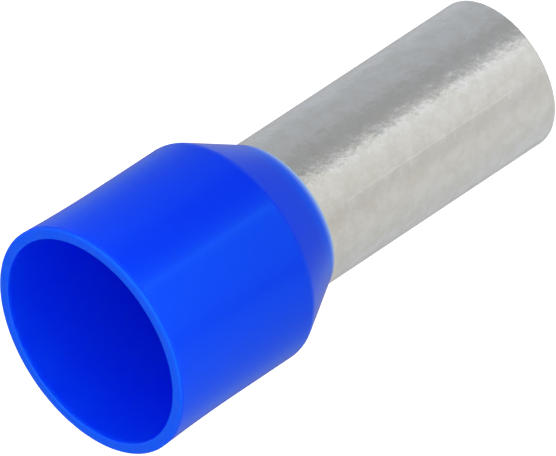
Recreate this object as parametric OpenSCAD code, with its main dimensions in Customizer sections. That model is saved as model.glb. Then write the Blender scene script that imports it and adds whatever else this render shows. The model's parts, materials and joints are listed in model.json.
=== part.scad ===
// Insulated bootlace ferrule, the wire end sleeve for a stranded conductor.
// A thin tinned copper tube is flared at its inner end and held in a moulded plastic collar.
// The wire enters the wide mouth: its insulation stops in the collar, its strands fill the tube.
// The axis is Z. The tip of the tube stands on Z = 0, and the mouth opens upwards.

/* [Conductor sleeve] */
// Bore of the tube, sized for the stranded conductor
sleeve_bore_d = 5.8; // [3:0.1:12]
// Wall of the drawn tube
sleeve_wall = 0.2; // [0.15:0.05:0.4]
// Bare length of tube that goes into the terminal
sleeve_free_l = 12; // [6:0.5:32]
// Straight length of tube held in the neck of the collar
neck_grip_l = 0.35; // [0.3:0.05:2]
// Bend radius at the root of the flare, on the outside of the tube
flare_bend_r = 0.5; // [0.2:0.1:0.8]
// Length of the flare along its slope
flare_l = 1.3; // [0.6:0.1:1.5]
// Rounding of the two edges at the tip
tip_edge_r = 0.06; // [0.02:0.01:0.07]
// Rounding of the two edges at the end of the flare
flare_edge_r = 0.05; // [0.02:0.01:0.07]

/* [Insulating collar] */
// Radial room for the insulation, from the bore of the tube out to the bore of the collar
insulation_room = 1.35; // [1.2:0.05:3]
// Depth of the straight entry, from the mouth to the inner cone
entry_l = 7.15; // [5:0.05:20]
// Slope of the cone and of the flare in it, from the axis
cone_angle = 29; // [20:1:40]
// Wall of the collar's body behind the bell of the mouth
body_wall = 0.34; // [0.25:0.01:0.6]
// Thickness of the thin edge where the neck ends on the tube
neck_edge_wall = 0.06; // [0.05:0.01:0.2]
// Rounding of the shoulder between the body and the cone
shoulder_r = 0.6; // [0.1:0.1:1]
// Rounding of the neck's thin edge
neck_edge_r = 0.03; // [0.02:0.01:0.05]

/* [Mouth] */
// Length over which the body opens out into the bell of the mouth
bell_l = 4.2; // [2:0.1:5]
// Growth in radius over the bell
bell_h = 0.12; // [0.06:0.01:0.3]
// Rounding of the outer edge of the mouth
mouth_outer_r = 0.1; // [0.03:0.01:0.15]
// Rounding of the inner edge of the mouth
mouth_inner_r = 0.08; // [0.02:0.01:0.1]

/* [Hidden] */
$fn = 128;
// Amount by which a rounding arc runs over its tangent sides, so that they close without a sliver
arc_overrun = 0.0001;

// Directions in the half section, where x is the radius and y the height
up = [0, 1];
down = [0, -1];
inwards = [-1, 0];
outwards = [1, 0];
along_cone = [sin(cone_angle), cos(cone_angle)];
across_cone = [-cos(cone_angle), sin(cone_angle)];

// Radii of the tube and of the collar
bore_r = sleeve_bore_d / 2;
sleeve_r = bore_r + sleeve_wall;
neck_r = sleeve_r + neck_edge_wall;
entry_r = bore_r + insulation_room;
body_r = entry_r + body_wall;
mouth_r = body_r + bell_h;

// Corner of the flare on the outside of the tube, on its inside, and the two corners of its end
neck_z = sleeve_free_l;
flare_root = [sleeve_r, neck_z + neck_grip_l + flare_bend_r * tan(cone_angle / 2)];
flare_throat = flare_root + sleeve_wall * [-1, tan(cone_angle / 2)];
flare_tip_outer = flare_root + flare_l * along_cone;
flare_tip_inner = flare_tip_outer + sleeve_wall * across_cone;

// Heights of the shoulder, the floor of the entry, the mouth and the foot of its bell
shoulder_z = neck_z + (body_r - neck_r) / tan(cone_angle);
entry_floor_z = flare_root[1] + (entry_r - sleeve_r) / tan(cone_angle);
mouth_z = entry_floor_z + entry_l;
bell_z = mouth_z - bell_l;

// Radius of the bell's hollow curve, which leaves the body as a tangent, and its slope at the mouth
bell_curve_r = (bell_l ^ 2 + bell_h ^ 2) / (2 * bell_h);
down_bell = [-bell_l, bell_h - bell_curve_r] / bell_curve_r;

// The web between a corner at p, with its sides running off along u and v, and an arc tangent to both.
// Taken away it rounds an outside corner, and added it fills an inside one.
module corner_web(p, u, v, r) {
    half_angle = acos(u * v) / 2;
    run = r / tan(half_angle);
    bisector = (u + v) / norm(u + v);
    difference() {
        polygon([p + run * u, p + run * v, p - r * bisector]);
        translate(p + r / sin(half_angle) * bisector)
            circle(r + arc_overrun);
    }
}

// Half section of the tube: a straight wall, the bend and the flare, all of one thickness
module sleeve_section() {
    difference() {
        union() {
            polygon([
                [bore_r, 0],
                [sleeve_r, 0],
                flare_root,
                flare_tip_outer,
                flare_tip_inner,
                flare_throat
            ]);
            corner_web(flare_root, down, along_cone, flare_bend_r);
        }
        corner_web(flare_throat, down, along_cone, flare_bend_r + sleeve_wall);
        corner_web([bore_r, 0], outwards, up, tip_edge_r);
        corner_web([sleeve_r, 0], inwards, up, tip_edge_r);
        corner_web(flare_tip_outer, -along_cone, across_cone, flare_edge_r);
        corner_web(flare_tip_inner, -along_cone, -across_cone, flare_edge_r);
    }
}

// Half section of the collar: the neck seats on the tube and its flare, and thins out to an edge
module collar_section() {
    difference() {
        polygon([
            [sleeve_r, neck_z],
            [neck_r, neck_z],
            [body_r, shoulder_z],
            [body_r, bell_z],
            [mouth_r, mouth_z],
            [entry_r, mouth_z],
            [entry_r, entry_floor_z],
            flare_root
        ]);
        translate([body_r + bell_curve_r, bell_z])
            circle(bell_curve_r, $fn = 8 * $fn);
        corner_web(flare_root, down, along_cone, flare_bend_r);
        corner_web([neck_r, neck_z], inwards, along_cone, neck_edge_r);
        corner_web([body_r, shoulder_z], -along_cone, up, shoulder_r);
        corner_web([mouth_r, mouth_z], inwards, down_bell, mouth_outer_r);
        corner_web([entry_r, mouth_z], outwards, down, mouth_inner_r);
    }
}

// Tinned copper tube, drawn in one piece and flared at its inner end
module conductor_sleeve() {
    color([0.74, 0.74, 0.72])
        rotate_extrude()
            sleeve_section();
}

// Blue plastic collar, moulded in one piece
module insulating_collar() {
    color([0.08, 0.3, 0.95])
        rotate_extrude()
            collar_section();
}

conductor_sleeve();
insulating_collar();
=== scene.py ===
import json
import math
from types import SimpleNamespace

import bpy
import numpy as np
from bpy.props import FloatProperty, FloatVectorProperty, IntProperty, PointerProperty
from mathutils import Matrix, Vector


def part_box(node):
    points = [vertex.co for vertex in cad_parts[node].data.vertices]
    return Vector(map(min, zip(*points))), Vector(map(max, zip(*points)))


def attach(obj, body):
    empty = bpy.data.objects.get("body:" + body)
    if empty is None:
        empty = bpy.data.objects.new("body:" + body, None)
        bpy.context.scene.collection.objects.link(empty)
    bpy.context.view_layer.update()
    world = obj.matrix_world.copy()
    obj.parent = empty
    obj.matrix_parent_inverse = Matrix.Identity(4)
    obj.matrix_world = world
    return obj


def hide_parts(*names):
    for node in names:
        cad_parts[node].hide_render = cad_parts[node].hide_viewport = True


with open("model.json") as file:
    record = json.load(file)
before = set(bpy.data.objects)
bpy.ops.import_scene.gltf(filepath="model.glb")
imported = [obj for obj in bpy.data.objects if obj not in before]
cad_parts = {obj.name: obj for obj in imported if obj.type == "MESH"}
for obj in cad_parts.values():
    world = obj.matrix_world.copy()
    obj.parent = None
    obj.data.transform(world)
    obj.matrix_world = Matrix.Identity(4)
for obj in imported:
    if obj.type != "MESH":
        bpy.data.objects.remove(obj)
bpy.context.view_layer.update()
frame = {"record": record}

bl_info = {
    "name": "Bootlace Ferrule",
    "version": (1, 0, 0),
    "blender": (4, 5, 0),
    "location": "3D View > Sidebar > Ferrule",
    "description": "Finishes an insulated bootlace ferrule and stands it in a white studio",
    "category": "Mesh",
}

MM = 0.001

# What the frame says of the part: its box, the heights of its two pieces and the radii of its mounts
TIP_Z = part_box("conductor_sleeve")[0].z
NECK_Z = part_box("insulating_collar")[0].z
MOUTH_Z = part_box("insulating_collar")[1].z
MOUNTS = frame["record"]["mounts"]
MOUNT_RADIUS = {each["name"]: each["dims"]["r_mm"] * MM for each in MOUNTS if "r_mm" in each["dims"]}


def length(name, description, default):
    """A length in metres that a user may change."""
    return FloatProperty(
        name=name, description=description, default=default, min=0.0, precision=6, unit="LENGTH"
    )


def angle(name, description, degrees):
    """An angle that a user may change, with its default given in degrees."""
    return FloatProperty(name=name, description=description, default=math.radians(degrees), subtype="ANGLE")


def colour(name, description, default):
    """A linear colour that a user may change."""
    return FloatVectorProperty(
        name=name, description=description, default=default, min=0.0, max=1.0, size=3, subtype="COLOR"
    )


def factor(name, description, default, top):
    """A plain number from nought up to its top."""
    return FloatProperty(
        name=name, description=description, default=default, min=0.0, max=top, subtype="FACTOR"
    )


def count(name, description, default, least):
    """A whole number with its least value."""
    return IntProperty(name=name, description=description, default=default, min=least)


def camera_size(name, description, default):
    """A size of the camera in millimetres."""
    return FloatProperty(name=name, description=description, default=default, unit="CAMERA")


class FERRULE_PG_form(bpy.types.PropertyGroup):
    """Sizes that the tube and the collar share"""

    bore_radius: length("Bore radius", "Inside of the tube", MOUNT_RADIUS["conductor_bore"])
    tube_radius: length("Tube radius", "Outside of the tube", MOUNT_RADIUS["terminal_pin"])
    entry_radius: length("Entry radius", "Inside of the collar", MOUNT_RADIUS["insulation_entry"])
    grip: length("Grip", "Straight length of tube held in the neck", 0.35 * MM)
    bend: length("Bend", "Bend radius at the root of the flare, on the outside", 0.5 * MM)
    cone: angle("Cone", "Slope of the cone from the axis", 29)
    around: count("Around", "Faces round each turned piece", 288, 24)


class FERRULE_PG_sleeve(bpy.types.PropertyGroup):
    """Sizes and finish of the tinned tube"""

    flare: length("Flare", "Length of the flare along its slope", 1.3 * MM)
    tip_edge: length("Tip edge", "Rounding of the two edges at the tip", 0.06 * MM)
    flare_edge: length("Flare edge", "Rounding of the edges at the end of the flare", 0.05 * MM)
    wave: length("Wave", "How far the drawn wall strays from a true cylinder", 0.003 * MM)
    line_turn: angle("Line turn", "Where the long draw line lies round the tube", -107)
    line_width: length("Line width", "Width of the steep side of the long draw line", 0.06 * MM)
    relief: length("Relief", "Depth of the swells, grain and lines of the plating", 0.036 * MM)
    bright_tin: colour("Bright tin", "Colour of the smooth plating", (0.93, 0.955, 0.985))
    dull_tin: colour("Dull tin", "Colour of the cloudy plating", (0.80, 0.805, 0.775))


class FERRULE_PG_collar(bpy.types.PropertyGroup):
    """Sizes and finish of the moulded collar"""

    entry_depth: length("Entry depth", "From the mouth to the inner cone", 7.15 * MM)
    body_wall: length("Body wall", "Wall of the body behind the bell of the mouth", 0.34 * MM)
    neck_wall: length("Neck wall", "Thickness of the thin edge on the tube", 0.06 * MM)
    neck_edge: length("Neck edge", "Rounding of the thin edge on the tube", 0.03 * MM)
    shoulder: length("Shoulder", "Rounding between the body and the cone", 0.6 * MM)
    floor_edge: length("Floor edge", "Rounding between the entry and the inner cone", 0.1 * MM)
    bell: length("Bell", "Length over which the body opens out to the mouth", 4.2 * MM)
    bell_rise: length("Bell rise", "Growth in radius over the bell", 0.12 * MM)
    mouth_outer: length("Mouth, outer edge", "Rounding of the outer edge of the mouth", 0.1 * MM)
    mouth_inner: length("Mouth, inner edge", "Rounding of the inner edge of the mouth", 0.04 * MM)
    relief: length("Relief", "Depth of the fine grain of the plastic", 0.002 * MM)
    spread: length("Spread", "How far light spreads inside the plastic", 0.5 * MM)
    # The body's colour next to the cone is darker than next to the mouth: painted shade towards the cone.
    cone_end_shaded_blue: colour("Deep blue", "Colour of the body next to the cone", (0.0, 0.007, 0.75))
    clear_blue: colour("Clear blue", "Colour of the body next to the mouth", (0.0, 0.024, 0.88))
    # The entry's colour is darker next to the mouth and brighter in its depth: painted shade near the mouth
    # and painted light deep inside.
    shaded_entry_blue: colour("Entry blue", "Colour of the entry next to the mouth", (0.0, 0.033, 0.75))
    brightened_floor_blue: colour("Floor blue", "Colour of the entry's depth", (0.0, 0.000, 0.91))
    # The lip's colour is darker and greener than the body's: painted shade on the upward face and painted
    # sheen.
    lip_shade_and_sheen_blue: colour("Lip blue", "Colour of the mouth's lip", (0.0, 0.034, 0.69))
    cone_blue: colour("Cone blue", "Colour of the cone, with metal close behind it", (0.0, 0.030, 0.90))
    neck_blue: colour("Neck blue", "Colour of the cone next to the neck's edge", (0.0, 0.072, 1.00))
    thin_blue: colour("Thin blue", "Colour of the neck's edge, thin over metal", (1.00, 0.88, 1.00))


class FERRULE_PG_stage(bpy.types.PropertyGroup):
    """Floor, light and camera"""

    floor_size: length("Floor size", "Side of the square floor", 4.0)
    floor_colour: colour("Floor colour", "Pale floor", (0.9, 0.9, 0.9))
    floor_glow: factor("Floor glow", "Light that the floor gives off by itself", 0.3, 2.0)
    patch_drop: length("Patch drop", "From the tip down to the hidden patch of floor", 0.05 * MM)
    patch_sides: count("Patch sides", "Corners of the hidden patch of floor", 48, 8)
    nadir: factor("Nadir", "Brightness of the tent straight below", 0.3, 5.0)
    zenith: factor("Zenith", "Brightness of the tent straight above", 1.1, 5.0)
    elevation: angle("Elevation", "Height of the camera over the floor", 33.52)
    roll: angle("Roll", "Turn of the camera about its own axis", -123.47)
    distance: length("Distance", "From the camera to the mouth", 0.5521)
    lens: camera_size("Lens", "Focal length in millimetres", 972.5)
    sensor: camera_size("Sensor", "Width of the sensor in millimetres", 36.0)
    mouth_pixel: FloatVectorProperty(
        name="Mouth pixel", description="Where the middle of the mouth shows", default=(89.06, 341.43),
        size=2
    )


# Width and height of the picture in pixels
PICTURE = (556, 456)

# Panels of the tent below and above the horizon: azimuth from the camera in degrees, brightness, warmth
LOWER_PANELS = (
    (-180, 0.32, 0.00),
    (-165, 0.45, 0.00),
    (-145, 0.56, 0.00),
    (-110, 0.56, 0.03),
    (-85, 0.60, 0.06),
    (-62, 0.61, 0.07),
    (-48, 0.53, 0.07),
    (-32, 0.63, 0.07),
    (-14, 0.68, 0.065),
    (4, 0.70, 0.05),
    (9, 0.74, 0.04),
    (13, 0.95, 0.035),
    (17, 0.66, 0.025),
    (24, 0.50, 0.01),
    (36, 0.36, 0.00),
    (52, 0.34, 0.00),
    (75, 0.43, -0.03),
    (100, 0.44, -0.04),
    (145, 0.52, -0.04),
    (165, 0.45, -0.02),
    (180, 0.32, 0.00),
)
UPPER_PANELS = (
    (-180, 0.5, 0.0),
    (-120, 0.7, 0.0),
    (-60, 1.55, 0.0),
    (0, 2.15, 0.0),
    (60, 2.1, 0.0),
    (120, 0.8, 0.0),
    (180, 0.5, 0.0),
)

# Heights on the tent, from -1 straight below to 1 straight above, over which its parts meet
NADIR_SPAN = (-0.97, -0.75)
HORIZON_SPAN = (-0.1, 0.1)
ZENITH_SPAN = (0.65, 0.95)

# Directions in a half section, where the first number is the radius and the second the height
UP = np.array([0.0, 1.0])
DOWN = np.array([0.0, -1.0])
OUTWARDS = np.array([1.0, 0.0])
INWARDS = np.array([-1.0, 0.0])

# Lobes of the drawn tube: share of the wave, number round the tube, twist in radians to the metre, phase
LOBES = (
    (0.6, 2, 70, 0.0),
    (0.4, 5, -160, 1.0),
)


def unit(vector):
    """A vector's direction."""
    return vector / np.linalg.norm(vector)


def rounded(corner, before, after, radius, steps=8):
    """Arc that rounds a corner between the directions before and after, which lead away from it.

    The arc is tangent to both sides. Half the angle between them gives the distance from the corner to
    the tangent points, radius / tan(half), and to the centre, radius / sin(half), along the bisector.
    The points turn evenly from the first tangent point to the second.
    """
    corner = np.array(corner, float)
    before = unit(np.array(before, float))
    after = unit(np.array(after, float))
    half = math.acos(np.dot(before, after)) / 2
    centre = corner + unit(before + after) * radius / math.sin(half)
    start = unit(corner + before * radius / math.tan(half) - centre)
    end = unit(corner + after * radius / math.tan(half) - centre)
    turn = math.pi - 2 * half
    share = np.linspace(0, 1, steps + 1)[:, None]
    spoke = (np.sin((1 - share) * turn) * start + np.sin(share * turn) * end) / math.sin(turn)
    return centre + radius * spoke


def closed_loop(stretches, step=0.35 * MM, fewest=3):
    """One loop of points through all the stretches in order, with straight runs between them.

    A run's points lie at (1 - cos(pi i / n)) / 2 of its length, close together at its ends and wide in
    its middle, so that the smooth normals stay true beside the tight roundings.
    """
    points = []
    for stretch, following in zip(stretches, stretches[1:] + stretches[:1]):
        points.append(stretch)
        run = following[0] - stretch[-1]
        parts = max(fewest, math.ceil(np.linalg.norm(run) / step))
        share = (1 - np.cos(np.pi * np.arange(1, parts) / parts)) / 2
        points.append(stretch[-1] + share[:, None] * run)
    return np.concatenate(points)


def new_object(name, points, faces):
    """Object with a mesh of these points and faces, put into the scene."""
    mesh = bpy.data.meshes.new(name)
    mesh.from_pydata(points, [], faces)
    made = bpy.data.objects.new(name, mesh)
    bpy.context.scene.collection.objects.link(made)
    return made


def turned(name, section, around, offset=None):
    """Smooth object of a closed section turned about Z.

    The surface is (r cos t, r sin t, z), with (r, z) along the section and t once round the axis.
    offset(t, z) is added to the radius.
    """
    turn = np.linspace(0, 2 * np.pi, around, endpoint=False)
    radius = section[:, :1] + np.zeros(around)
    height = section[:, 1:] + np.zeros(around)
    if offset is not None:
        radius = radius + offset(turn[None, :], height)
    points = np.stack([radius * np.cos(turn), radius * np.sin(turn), height], axis=-1).reshape(-1, 3)
    along = np.arange(len(section))[:, None]
    across = np.arange(around)[None, :]
    next_along = (along + 1) % len(section)
    next_across = (across + 1) % around
    corners = [(along, across), (along, next_across), (next_along, next_across), (next_along, across)]
    faces = np.stack([i * around + j for i, j in corners], axis=-1).reshape(-1, 4)
    piece = new_object(name, points, faces)
    piece.data.shade_smooth()
    piece.data.update()
    return piece


def cone_directions(form):
    """Directions along the cone's slope, up and outwards, and across it, up and inwards."""
    along = np.array([math.sin(form.cone), math.cos(form.cone)])
    across = np.array([-math.cos(form.cone), math.sin(form.cone)])
    return along, across


def flare_root(form):
    """Corner on the outside of the tube where the straight wall and the flare would meet."""
    return np.array([form.tube_radius, NECK_Z + form.grip + form.bend * math.tan(form.cone / 2)])


def sleeve_section(form, sleeve):
    """Half section of the tube: the tip, the straight wall, the bend and the flare, all of one wall."""
    along, across = cone_directions(form)
    wall = form.tube_radius - form.bore_radius
    root = flare_root(form)
    throat = root + wall * np.array([-1.0, math.tan(form.cone / 2)])
    outer_end = root + sleeve.flare * along
    inner_end = outer_end + wall * across
    return closed_loop([
        rounded((form.bore_radius, TIP_Z), UP, OUTWARDS, sleeve.tip_edge),
        rounded((form.tube_radius, TIP_Z), INWARDS, UP, sleeve.tip_edge),
        rounded(root, DOWN, along, form.bend),
        rounded(outer_end, -along, across, sleeve.flare_edge),
        rounded(inner_end, -across, -along, sleeve.flare_edge),
        rounded(throat, along, DOWN, form.bend + wall),
    ])


def bell_curve(body_radius, collar, steps=28):
    """Outside of the bell, from the body to the mouth, and its slope at the mouth, leading down.

    It is an arc tangent to the body. A rise h over a length l has the radius (l^2 + h^2) / (2 h), and
    the arc's radius at a height y above its foot is body + R - sqrt(R^2 - y^2). The points stop short of
    the mouth, where its rounding begins.
    """
    bend = (collar.bell ** 2 + collar.bell_rise ** 2) / (2 * collar.bell_rise)
    rise = np.linspace(0, collar.bell - 2 * collar.mouth_outer, steps)
    out = body_radius + bend - np.sqrt(bend ** 2 - rise ** 2)
    down = np.array([-collar.bell, collar.bell_rise - bend]) / bend
    return np.stack([out, MOUTH_Z - collar.bell + rise], axis=-1), down


def shoulder_height(form, collar):
    """Height of the corner between the cone and the body."""
    rise = form.entry_radius + collar.body_wall - form.tube_radius - collar.neck_wall
    return NECK_Z + rise / math.tan(form.cone)


def collar_section(form, collar):
    """Half section of the collar: neck, cone, shoulder, bell, mouth, entry, inner cone and flare's seat."""
    along, _ = cone_directions(form)
    neck_radius = form.tube_radius + collar.neck_wall
    body_radius = form.entry_radius + collar.body_wall
    mouth_radius = body_radius + collar.bell_rise
    shoulder_z = shoulder_height(form, collar)
    floor_z = MOUTH_Z - collar.entry_depth
    bell, down_bell = bell_curve(body_radius, collar)
    return closed_loop([
        np.array([[form.tube_radius, NECK_Z]]),
        rounded((neck_radius, NECK_Z), INWARDS, along, collar.neck_edge),
        rounded((body_radius, shoulder_z), -along, UP, collar.shoulder),
        bell,
        rounded((mouth_radius, MOUTH_Z), down_bell, INWARDS, collar.mouth_outer, steps=12),
        rounded((form.entry_radius, MOUTH_Z), OUTWARDS, DOWN, collar.mouth_inner),
        rounded((form.entry_radius, floor_z), UP, -along, collar.floor_edge),
        rounded(flare_root(form), along, DOWN, form.bend),
    ])


def tube_wave(form, sleeve):
    """Radial stray of the drawn tube: slow lobes round the axis that twist a little along it.

    It is a sum of cosines of the turn, each with its own number of lobes and a phase that grows with
    height, and fades out where the collar grips the tube.
    """
    def offset(turn, height):
        waves = [
            share * np.cos(lobes * turn + twist * height + phase)
            for share, lobes, twist, phase in LOBES
        ]
        fade = np.clip((NECK_Z - height) / form.bend, 0, 1)
        return sleeve.wave * sum(waves) * fade
    return offset


# Direction of the part's axis, and the values at the two ends of a mask that falls
AXIS = (0.0, 0.0, 1.0)
FALLING = (1.0, 0.0)

# Noises of the finishes: features to the metre, octaves of detail and strength left to each next octave
TIN_CLOUD = (1600, 5.0, 0.65)
TIN_SWELL = (1400, 2.0, 0.5)
TIN_GRAIN = (3000, 3.0, 0.6)
TIN_LINES = (6000, 2.0, 0.5)
PLASTIC_CLOUD = (700, 3.0, 0.6)
PLASTIC_GRAIN = (9000, 2.0, 0.5)
LIP_NICKS = (1600, 0.0, 0.5)
NOISE_MEAN = 0.5

# Scales of the coordinates that shorten the grain and draw out the drawing lines along the tube
GRAIN_SCALE = (1.0, 1.0, 1.6)
LINES_SCALE = (1.0, 1.0, 0.05)

# Spans of the noises' values that carry a finish from its one end to its other
CLOUD_SPAN = (0.3, 0.7)
PATCH_SPAN = (0.35, 0.65)
NICK_SPAN = (0.4, 0.6)

# Tin plate: roughness of the cloudy plating and of its smooth patches, share of bright tin that a patch
# adds, and share of it at the tip and at the neck, which is painted light that brightens the tube towards
# the tip
TIN_ROUGHNESS = (0.25, 0.18)
PATCH_BRIGHT = 0.55
ENDS_BRIGHT = (0.4, 0.05)

# Heights of the drawing lines, the long draw line and the grain as shares of the swells
LINES_SHARE = 0.04
DRAW_LINE_SHARE = 0.26
GRAIN_SHARE = 0.7

# Long draw line: width of its gentle side in widths of its steep side, reach in front of the axis over
# which it comes in, and the fades at its ends, measured up from the tip and down from the neck
LINE_TAIL = 6
LINE_FRONT = 1.0 * MM
LINE_START = (1.0 * MM, 2.5 * MM)
LINE_END = (2.0 * MM, 1.0 * MM)

# Zones of the collar: heights above the neck, half the fade at the shoulder, depths below the mouth, and
# distances outwards from the entry's wall
THIN_HEIGHT = 0.6 * MM
NECK_FADE = (0.3 * MM, 1.1 * MM)
THICK_START = 0.3 * MM
SHOULDER_FADE = 0.1 * MM
LIP_FADE = (0.15 * MM, 0.05 * MM)
EDGE_FADE = (0.3 * MM, 0.1 * MM)
WALL_FADE = (0.05 * MM, 0.15 * MM)

# Powers of the fades at the thin edge and along the body; the fade along the body is painted shade towards
# the cone
THIN_POWER = 3.0
BODY_POWER = 1.5

# Plastic: roughness at the two ends of its clouds, what the worn edge and the entry add to it, height of
# the edge's dents in heights of the grain, and weights of the coat
SATIN = (0.1, 0.15)
WORN = (0.38, 0.5)
ENTRY_MATT = 0.25
DENT_SHARE = 18.0
BODY_COAT = 0.52
CONE_COAT = 0.28
NECK_COAT = 0.45


def add_node(tree, kind, inputs=None, **settings):
    """A new node with its own settings, its inputs filled from values or linked from other nodes."""
    node = tree.nodes.new(kind)
    for name, value in settings.items():
        setattr(node, name, value)
    for name, value in (inputs or {}).items():
        if isinstance(value, bpy.types.NodeSocket):
            tree.links.new(value, node.inputs[name])
        else:
            node.inputs[name].default_value = value
    return node


def maths(tree, operation, first, second=0.0, third=0.0):
    """Output of a Math node."""
    inputs = {0: first, 1: second, 2: third}
    return add_node(tree, "ShaderNodeMath", inputs, operation=operation).outputs[0]


def mixed(tree, share, first, second):
    """Output of a colour Mix node, from first at 0 to second at 1."""
    inputs = {0: share, 6: first, 7: second}
    return add_node(tree, "ShaderNodeMix", inputs, data_type="RGBA", clamp_factor=True).outputs[2]


def ranged(tree, value, span, ends=(0.0, 1.0), interpolation="SMOOTHSTEP"):
    """Output of a Map Range node between its ends over a span of the value, smooth unless told otherwise."""
    inputs = {"Value": value, "From Min": span[0], "From Max": span[1], "To Min": ends[0], "To Max": ends[1]}
    return add_node(tree, "ShaderNodeMapRange", inputs, interpolation_type=interpolation).outputs[0]


def straight(tree, value, span, ends=(0.0, 1.0)):
    """Output of a Map Range node that goes evenly between its ends over a span of the value."""
    return ranged(tree, value, span, ends, "LINEAR")


def noise(tree, vector, scale, detail, roughness):
    """Grey output of a Noise node, with its scale in features to the metre."""
    inputs = {"Vector": vector, "Scale": scale, "Detail": detail, "Roughness": roughness}
    return add_node(tree, "ShaderNodeTexNoise", inputs).outputs[0]


def scaled(tree, vector, scale):
    """Coordinates with each axis multiplied by its own scale."""
    return add_node(tree, "ShaderNodeMapping", {"Vector": vector, "Scale": scale}).outputs[0]


def reach(tree, vector, direction):
    """How far the coordinates reach along a direction."""
    inputs = {0: vector, 1: direction}
    return add_node(tree, "ShaderNodeVectorMath", inputs, operation="DOT_PRODUCT").outputs["Value"]


def bumped(tree, height, depth):
    """Normal of a surface with this relief, where a height of 1 is as deep as the depth."""
    inputs = {"Strength": 1.0, "Distance": depth, "Height": height}
    return add_node(tree, "ShaderNodeBump", inputs).outputs[0]


def opaque(value):
    """A colour with its alpha."""
    return (*value, 1.0)


def new_material(name):
    """An empty node material and the coordinates of its object."""
    material = bpy.data.materials.new(name)
    material.use_nodes = True
    tree = material.node_tree
    tree.nodes.clear()
    place = add_node(tree, "ShaderNodeTexCoord").outputs["Object"]
    return material, tree, place


def set_surface(tree, inputs):
    """Principled surface with these inputs, put on the material's output."""
    shader = add_node(tree, "ShaderNodeBsdfPrincipled", inputs)
    add_node(tree, "ShaderNodeOutputMaterial", {"Surface": shader.outputs[0]})


def draw_line(tree, place, sleeve):
    """Crest of the long draw line: 1 on it, falling to 0 beside it, behind the axis and near both ends.

    Across the tube it climbs along its gentle side and drops along its steep one, the lower of two
    straight ramps.
    """
    side = math.cos(sleeve.line_turn), math.sin(sleeve.line_turn)
    facing = reach(tree, place, (side[0], side[1], 0.0))
    across = reach(tree, place, (-side[1], side[0], 0.0))
    height = reach(tree, place, AXIS)
    steep = straight(tree, across, (0.0, sleeve.line_width), FALLING)
    gentle = straight(tree, across, (-LINE_TAIL * sleeve.line_width, 0.0))
    crest = maths(tree, "MINIMUM", steep, gentle)
    front = ranged(tree, facing, (0.0, LINE_FRONT))
    start = ranged(tree, height, (TIP_Z + LINE_START[0], TIP_Z + LINE_START[1]))
    end = ranged(tree, height, (NECK_Z - LINE_END[0], NECK_Z - LINE_END[1]), FALLING)
    ends = maths(tree, "MULTIPLY", start, end)
    return maths(tree, "MULTIPLY", crest, maths(tree, "MULTIPLY", front, ends))


def tin_relief(tree, place, sleeve):
    """Height of the plating: soft swells with grain, drawing lines and the long draw line on them."""
    swell = noise(tree, place, *TIN_SWELL)
    lines = noise(tree, scaled(tree, place, LINES_SCALE), *TIN_LINES)
    grain = noise(tree, scaled(tree, place, GRAIN_SCALE), *TIN_GRAIN)
    lined = maths(tree, "MULTIPLY_ADD", lines, LINES_SHARE, swell)
    drawn = maths(tree, "MULTIPLY_ADD", draw_line(tree, place, sleeve), DRAW_LINE_SHARE, lined)
    return maths(tree, "MULTIPLY_ADD", grain, GRAIN_SHARE, drawn)


def tinned_copper(sleeve):
    """Satin tin plate: smooth bright patches among cloudy plating, and painted light that brightens it
    towards the tip.
    """
    material, tree, place = new_material("tinned_copper")
    cloud = noise(tree, place, *TIN_CLOUD)
    patch = ranged(tree, cloud, PATCH_SPAN)
    # Painted light: more bright tin towards the tip, brightening the tube there.
    painted_tip_light = straight(tree, reach(tree, place, AXIS), (TIP_Z, NECK_Z), ENDS_BRIGHT)
    bright = maths(tree, "MULTIPLY_ADD", patch, PATCH_BRIGHT, painted_tip_light)
    set_surface(tree, {
        "Base Color": mixed(tree, bright, opaque(sleeve.dull_tin), opaque(sleeve.bright_tin)),
        "Metallic": 1.0,
        "Roughness": ranged(tree, cloud, CLOUD_SPAN, TIN_ROUGHNESS),
        "Normal": bumped(tree, tin_relief(tree, place, sleeve), sleeve.relief),
    })
    return material


def collar_zones(tree, place, form, collar):
    """Masks of the collar's zones, each 1 in its zone and 0 away from it.

    thin is the neck's edge, neck the foot of the cone, cone all below the shoulder, lip the face of the
    mouth and edge the lip with both its corners. inside is all that lies no further out than the entry's
    wall, most of the cone too. climb grows evenly from the shoulder to the mouth, and thick smoothly from
    the foot of the cone to the shoulder.
    """
    height = reach(tree, place, AXIS)
    level = scaled(tree, place, (1.0, 1.0, 0.0))
    radius = add_node(tree, "ShaderNodeVectorMath", {0: level}, operation="LENGTH").outputs["Value"]
    shoulder = shoulder_height(form, collar)
    thinning = straight(tree, height, (NECK_Z, NECK_Z + THIN_HEIGHT), FALLING)
    wall = form.entry_radius + WALL_FADE[0], form.entry_radius + WALL_FADE[1]
    return SimpleNamespace(
        thin=maths(tree, "POWER", thinning, THIN_POWER),
        neck=ranged(tree, height, (NECK_Z + NECK_FADE[0], NECK_Z + NECK_FADE[1]), FALLING),
        cone=ranged(tree, height, (shoulder - SHOULDER_FADE, shoulder + SHOULDER_FADE), FALLING),
        lip=ranged(tree, height, (MOUTH_Z - LIP_FADE[0], MOUTH_Z - LIP_FADE[1])),
        edge=ranged(tree, height, (MOUTH_Z - EDGE_FADE[0], MOUTH_Z - EDGE_FADE[1])),
        inside=ranged(tree, radius, wall, FALLING),
        climb=straight(tree, height, (shoulder, MOUTH_Z)),
        thick=ranged(tree, height, (NECK_Z + THICK_START, shoulder)),
    )


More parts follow.
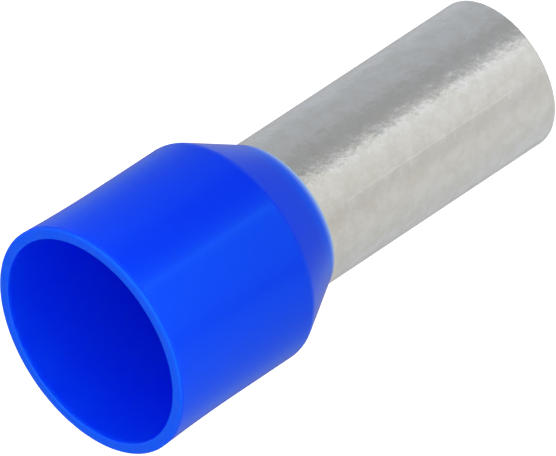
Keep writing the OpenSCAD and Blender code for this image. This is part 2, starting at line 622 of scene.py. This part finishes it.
def collar_blue(tree, zones, collar):
    """Colour of the collar, laid zone over zone: body or entry, then the lip, then the cone and its foot."""
    rise = maths(tree, "POWER", zones.climb, BODY_POWER)
    # Painted shade: the body darkens from the mouth towards the cone.
    body = mixed(tree, rise, opaque(collar.cone_end_shaded_blue), opaque(collar.clear_blue))
    # Painted light and shade: the entry is brighter in its depth and darker near the mouth.
    entry = mixed(tree, zones.climb, opaque(collar.brightened_floor_blue), opaque(collar.shaded_entry_blue))
    wall = mixed(tree, zones.inside, body, entry)
    # Painted shade and sheen: the lip is darker and greener than the body.
    upper = mixed(tree, zones.lip, wall, opaque(collar.lip_shade_and_sheen_blue))
    slope = mixed(tree, zones.neck, opaque(collar.cone_blue), opaque(collar.neck_blue))
    lower = mixed(tree, zones.thin, slope, opaque(collar.thin_blue))
    return mixed(tree, zones.cone, upper, lower)


def collar_roughness(tree, place, zones, nicks):
    """Roughness of the collar: satin outside, matt in the entry and worn unevenly on the mouth's edge."""
    satin = ranged(tree, noise(tree, place, *PLASTIC_CLOUD), CLOUD_SPAN, SATIN)
    worn = maths(tree, "MULTIPLY", zones.edge, ranged(tree, nicks, NICK_SPAN, WORN))
    entry = maths(tree, "SUBTRACT", zones.inside, zones.cone)
    matt = maths(tree, "MULTIPLY", entry, ENTRY_MATT)
    return maths(tree, "ADD", maths(tree, "MAXIMUM", worn, matt), satin)


def collar_relief(tree, place, zones, nicks):
    """Height of the plastic: fine grain all over, and soft dents on the mouth's edge."""
    dents = maths(tree, "MULTIPLY", zones.edge, maths(tree, "SUBTRACT", nicks, NOISE_MEAN))
    return maths(tree, "MULTIPLY_ADD", dents, DENT_SHARE, noise(tree, place, *PLASTIC_GRAIN))


def collar_coat(tree, zones):
    """Weight of the coat, which steps from the body to the cone and again to the cone's foot."""
    stepped = maths(tree, "MULTIPLY_ADD", zones.cone, CONE_COAT - BODY_COAT, BODY_COAT)
    return maths(tree, "MULTIPLY_ADD", zones.neck, NECK_COAT - CONE_COAT, stepped)


def blue_plastic(form, collar):
    """Moulded plastic that lets some light through, paler where it thins out over the metal.

    The coat has no gloss of its own. It only holds back red, and a little green, from what the plastic
    reflects, and least on the cone.
    """
    material, tree, place = new_material("blue_plastic")
    zones = collar_zones(tree, place, form, collar)
    nicks = noise(tree, place, *LIP_NICKS)
    set_surface(tree, {
        "Base Color": collar_blue(tree, zones, collar),
        "Roughness": collar_roughness(tree, place, zones, nicks),
        "IOR": 1.6,
        "Specular IOR Level": 1.0,
        "Specular Tint": (0.15, 0.9, 1.0, 1.0),
        "Coat Weight": collar_coat(tree, zones),
        "Coat Roughness": 0.25,
        "Coat IOR": 1.0,
        "Coat Tint": (0.0, 0.87, 1.0, 1.0),
        "Subsurface Weight": zones.thick,
        "Subsurface Radius": (0.1, 0.3, 1.0),
        "Subsurface Scale": collar.spread,
        "Normal": bumped(tree, collar_relief(tree, place, zones, nicks), collar.relief),
    })
    return material


def finish_piece(piece, material, node):
    """The piece stands for its CAD node, rides with the part and takes its slot's finish."""
    piece.data.materials.append(material)
    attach(piece, "root")
    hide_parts(node)


class FERRULE_OT_sleeve(bpy.types.Operator):
    """Make the tinned tube with its flare"""

    bl_idname = "ferrule.sleeve"
    bl_label = "Tinned Sleeve"

    def execute(self, context):
        form = context.scene.ferrule_form
        sleeve = context.scene.ferrule_sleeve
        section = sleeve_section(form, sleeve)
        piece = turned("tinned_sleeve", section, form.around, tube_wave(form, sleeve))
        finish_piece(piece, tinned_copper(sleeve), "conductor_sleeve")
        return {"FINISHED"}


class FERRULE_OT_collar(bpy.types.Operator):
    """Make the moulded collar with its cone and bell mouth"""

    bl_idname = "ferrule.collar"
    bl_label = "Moulded Collar"

    def execute(self, context):
        form = context.scene.ferrule_form
        collar = context.scene.ferrule_collar
        piece = turned("moulded_collar", collar_section(form, collar), form.around)
        finish_piece(piece, blue_plastic(form, collar), "insulating_collar")
        return {"FINISHED"}


def floor_paint(name, stage, glow):
    """Matt pale paint that may give off some light by itself."""
    material, tree, _ = new_material(name)
    set_surface(tree, {
        "Base Color": opaque(stage.floor_colour),
        "Roughness": 1.0,
        "Specular IOR Level": 0.0,
        "Emission Color": (1.0, 1.0, 1.0, 1.0),
        "Emission Strength": glow,
    })
    return material


def lay_floor(stage):
    """Square floor under the tip. Only the camera sees it: the tent lights the part from below."""
    half = stage.floor_size / 2
    corners = [(-half, -half, TIP_Z), (half, -half, TIP_Z), (half, half, TIP_Z), (-half, half, TIP_Z)]
    floor = new_object("floor", corners, [range(len(corners))])
    floor.visible_diffuse = False
    floor.visible_glossy = False
    floor.visible_shadow = False
    floor.data.materials.append(floor_paint("pale_floor", stage, stage.floor_glow))


def close_bore(form, stage):
    """Round patch of floor just under the tip, hidden from the camera.

    Its points are (r cos t, r sin t, z), with the tube's radius. It keeps the tent's light out of the bore.
    """
    turn = np.linspace(0, 2 * np.pi, stage.patch_sides, endpoint=False)
    rim = np.stack([np.cos(turn), np.sin(turn), np.zeros_like(turn)], axis=-1) * form.tube_radius
    patch = new_object("floor_patch", rim + (0, 0, TIP_Z - stage.patch_drop), [range(len(rim))])
    patch.visible_camera = False
    patch.data.materials.append(floor_paint("shaded_floor", stage, 0.0))


def panel_ring(tree, turn, panels):
    """Output of a Color Ramp that goes once round the tent through these panels."""
    ramp = add_node(tree, "ShaderNodeValToRGB", {0: turn})
    ramp.color_ramp.interpolation = "EASE"
    elements = ramp.color_ramp.elements
    while len(elements) < len(panels):
        elements.new(0.5)
    for element, (azimuth, brightness, warmth) in zip(elements, panels):
        element.position = azimuth / 360 + 0.5
        element.color = (brightness * (1 + warmth / 2), brightness, brightness * (1 - warmth), 1.0)
    return ramp.outputs[0]


def light_tent(stage):
    """World light: a ring of panels below the horizon and one above it, each closed by its own pole."""
    world = bpy.data.worlds.new("light_tent")
    world.use_nodes = True
    tree = world.node_tree
    tree.nodes.clear()
    towards = add_node(tree, "ShaderNodeTexCoord").outputs["Generated"]
    axes = add_node(tree, "ShaderNodeSeparateXYZ", {0: towards}).outputs
    azimuth = maths(tree, "ARCTAN2", axes["X"], maths(tree, "MULTIPLY", axes["Y"], -1.0))
    turn = maths(tree, "MULTIPLY_ADD", azimuth, 1 / (2 * math.pi), 0.5)
    down = ranged(tree, axes["Z"], NADIR_SPAN, FALLING)
    lower = mixed(tree, down, panel_ring(tree, turn, LOWER_PANELS), opaque([stage.nadir] * 3))
    up = ranged(tree, axes["Z"], ZENITH_SPAN)
    upper = mixed(tree, up, panel_ring(tree, turn, UPPER_PANELS), opaque([stage.zenith] * 3))
    light = mixed(tree, ranged(tree, axes["Z"], HORIZON_SPAN), lower, upper)
    background = add_node(tree, "ShaderNodeBackground", {"Color": light})
    add_node(tree, "ShaderNodeOutputWorld", {"Surface": background.outputs[0]})
    bpy.context.scene.world = world


def place_camera(stage):
    """Camera at its height and roll, with the middle of the mouth on its own pixel.

    The view's right and up are turned by the roll from the level ones. A pixel is distance * sensor /
    (lens * picture width) metres wide at the mouth, which gives the sidestep from the mouth.
    """
    forward = Vector((0, math.cos(stage.elevation), -math.sin(stage.elevation)))
    level_right = Vector((1, 0, 0))
    level_up = Vector((0, math.sin(stage.elevation), math.cos(stage.elevation)))
    right = level_right * math.cos(stage.roll) + level_up * math.sin(stage.roll)
    up = level_up * math.cos(stage.roll) - level_right * math.sin(stage.roll)
    pixel = stage.distance * stage.sensor / (stage.lens * PICTURE[0])
    aside = right * ((PICTURE[0] - 1) / 2 - stage.mouth_pixel[0]) * pixel
    above = up * (stage.mouth_pixel[1] - (PICTURE[1] - 1) / 2) * pixel
    data = bpy.data.cameras.new("camera")
    data.lens = stage.lens
    data.sensor_width = stage.sensor
    camera = bpy.data.objects.new("camera", data)
    bpy.context.scene.collection.objects.link(camera)
    place = Vector((0, 0, MOUTH_Z)) - forward * stage.distance + aside + above
    camera.matrix_world = Matrix.Translation(place) @ Matrix((right, up, -forward)).transposed().to_4x4()
    bpy.context.scene.camera = camera


class FERRULE_OT_stage(bpy.types.Operator):
    """Lay the floor, light it and place the camera"""

    bl_idname = "ferrule.stage"
    bl_label = "White Studio"

    def execute(self, context):
        stage = context.scene.ferrule_stage
        lay_floor(stage)
        close_bore(context.scene.ferrule_form, stage)
        light_tent(stage)
        place_camera(stage)
        context.scene.view_settings.view_transform = "Standard"
        return {"FINISHED"}


class FERRULE_PT_sidebar(bpy.types.Panel):
    """Sizes, finishes and the steps that make the ferrule"""

    bl_label = "Bootlace Ferrule"
    bl_idname = "FERRULE_PT_sidebar"
    bl_space_type = "VIEW_3D"
    bl_region_type = "UI"
    bl_category = "Ferrule"

    def draw(self, context):
        for group, steps in GROUPS:
            settings = getattr(context.scene, group)
            box = self.layout.box()
            for name in settings.__annotations__:
                box.prop(settings, name)
            for step in steps:
                box.operator(step.bl_idname)


# Settings of the scene, and the steps that stand under each of them in the sidebar
SETTINGS = {
    "ferrule_form": FERRULE_PG_form,
    "ferrule_sleeve": FERRULE_PG_sleeve,
    "ferrule_collar": FERRULE_PG_collar,
    "ferrule_stage": FERRULE_PG_stage,
}
GROUPS = (
    ("ferrule_form", ()),
    ("ferrule_sleeve", (FERRULE_OT_sleeve,)),
    ("ferrule_collar", (FERRULE_OT_collar,)),
    ("ferrule_stage", (FERRULE_OT_stage,)),
)
OPERATORS = (FERRULE_OT_sleeve, FERRULE_OT_collar, FERRULE_OT_stage)
CLASSES = (*SETTINGS.values(), *OPERATORS, FERRULE_PT_sidebar)


def register():
    for each in CLASSES:
        bpy.utils.register_class(each)
    for name, group in SETTINGS.items():
        setattr(bpy.types.Scene, name, PointerProperty(type=group))


def unregister():
    for name in SETTINGS:
        delattr(bpy.types.Scene, name)
    for each in reversed(CLASSES):
        bpy.utils.unregister_class(each)


def main():
    register()
    bpy.ops.ferrule.sleeve()
    bpy.ops.ferrule.collar()
    bpy.ops.ferrule.stage()


if __name__ == "__main__":
    main()
